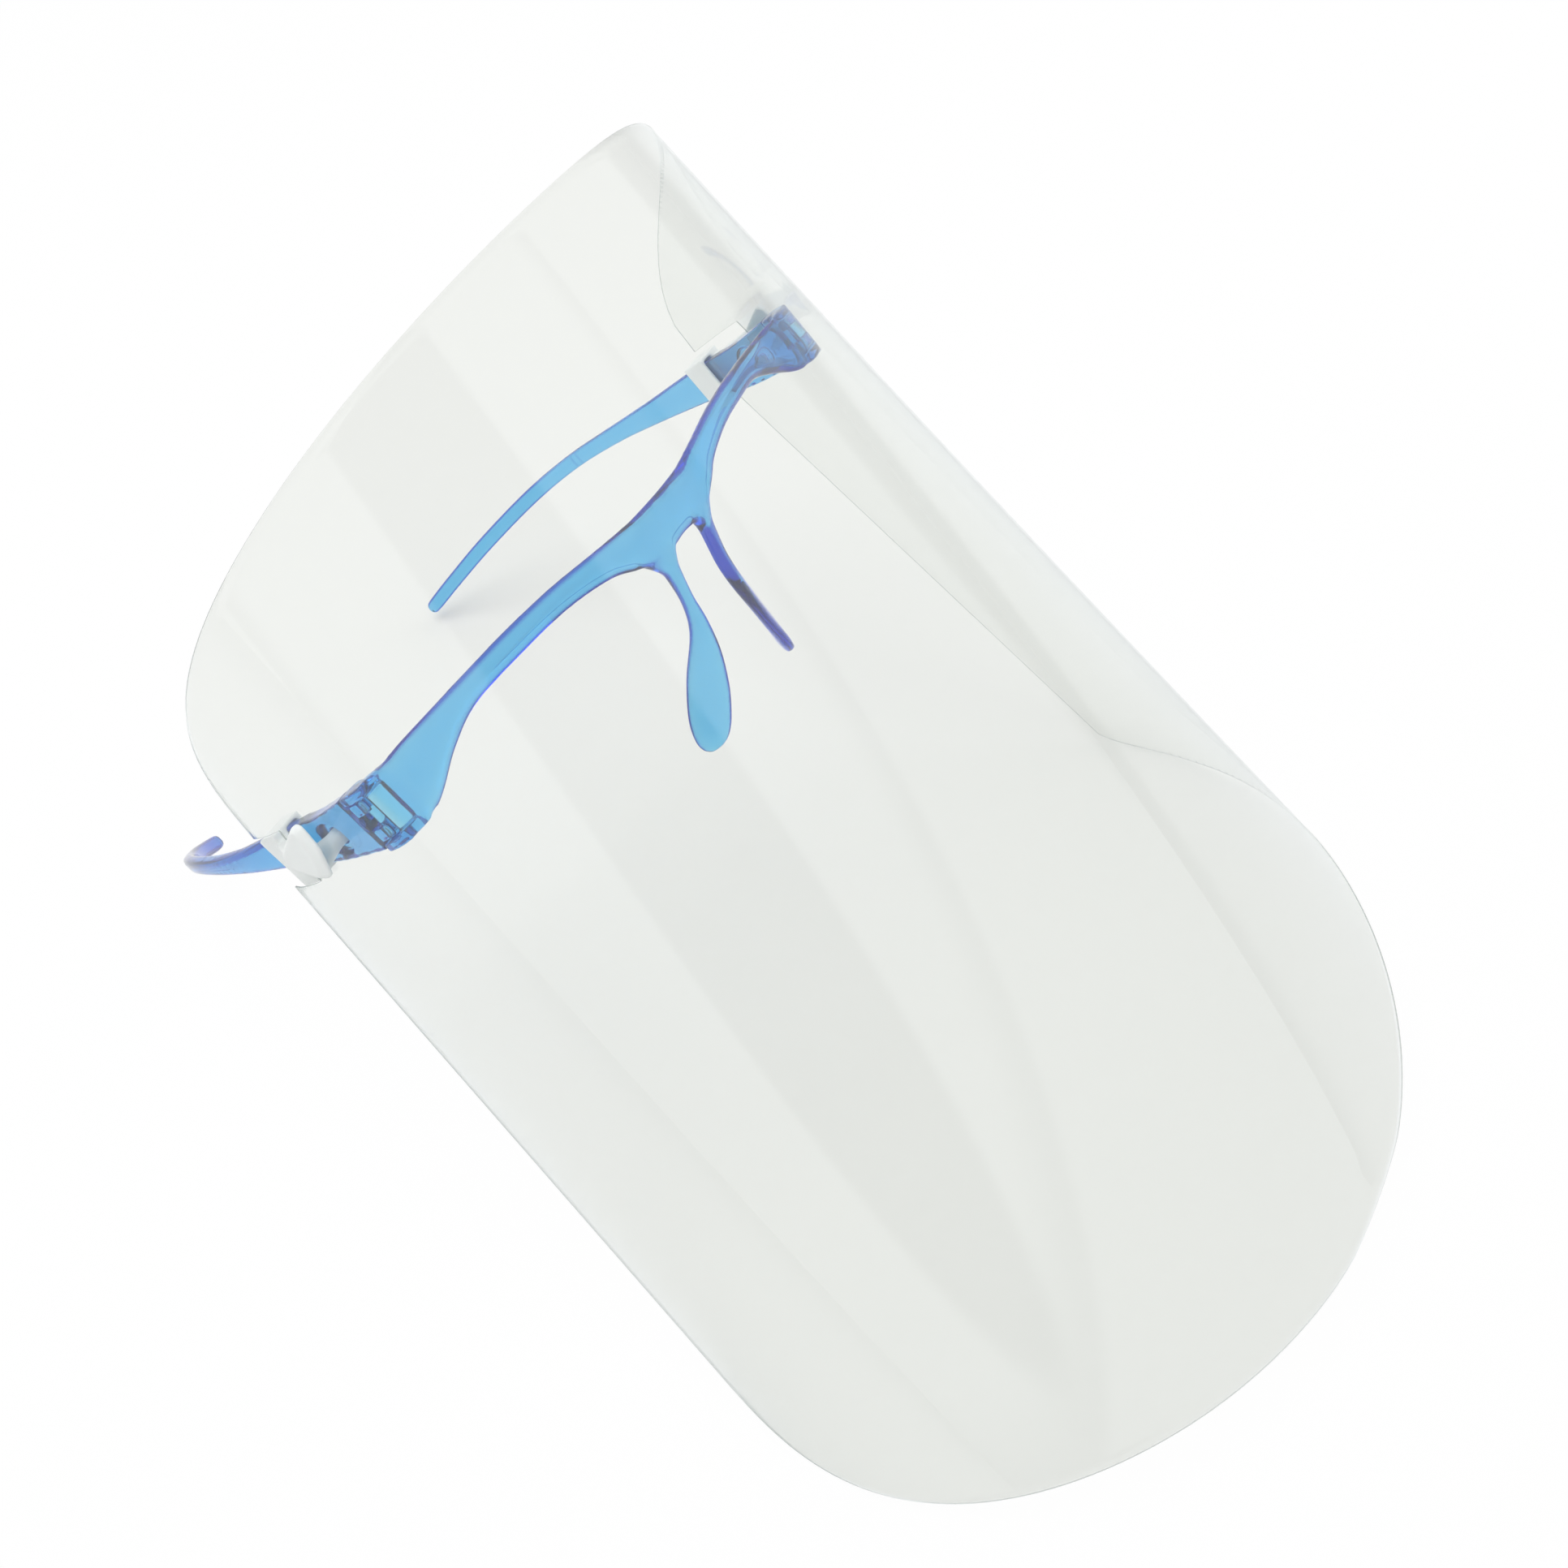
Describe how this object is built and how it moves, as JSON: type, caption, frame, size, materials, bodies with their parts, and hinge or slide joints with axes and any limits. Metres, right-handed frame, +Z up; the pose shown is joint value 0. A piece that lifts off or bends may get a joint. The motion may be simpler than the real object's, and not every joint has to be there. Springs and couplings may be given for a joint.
{
  "type": "clip-on face visor with spectacle frame",
  "caption": "Large bent clear visor sheet hooked by two white clips to a translucent blue lens-free spectacle frame with nose pads and folding temples.",
  "frame": {"origin": "midway between the two temple hinges, level with the middle of the end pieces", "axes": "+X to the wearer's left, +Y towards the back of the head, +Z up; the visor bulges towards -Y"},
  "size_m": [0.1878, 0.1755, 0.2385],
  "materials": {
    "blue_plastic": "gloss",
    "white_plastic": "satin",
    "clear_sheet": "gloss"
  },
  "bodies": {
    "frame": {"brow_frame": "blue_plastic", "visor_film": "clear_sheet"},
    "left_temple": {"left_temple": "blue_plastic", "left_visor_clip": "white_plastic"},
    "right_temple": {"right_temple": "blue_plastic", "right_visor_clip": "white_plastic"}
  },
  "joints": [
    {"name": "left_temple_fold", "type": "hinge", "parent": "frame", "child": "left_temple", "pos_m": [0.068, -0.0045, 0], "axis": [0, 0, 1], "range_deg": [0, 60], "deforming": ["visor_film"]},
    {"name": "right_temple_fold", "type": "hinge", "parent": "frame", "child": "right_temple", "pos_m": [-0.068, -0.0045, 0], "axis": [0, 0, -1], "range_deg": [0, 77.5], "deforming": ["visor_film"]}
  ]
}
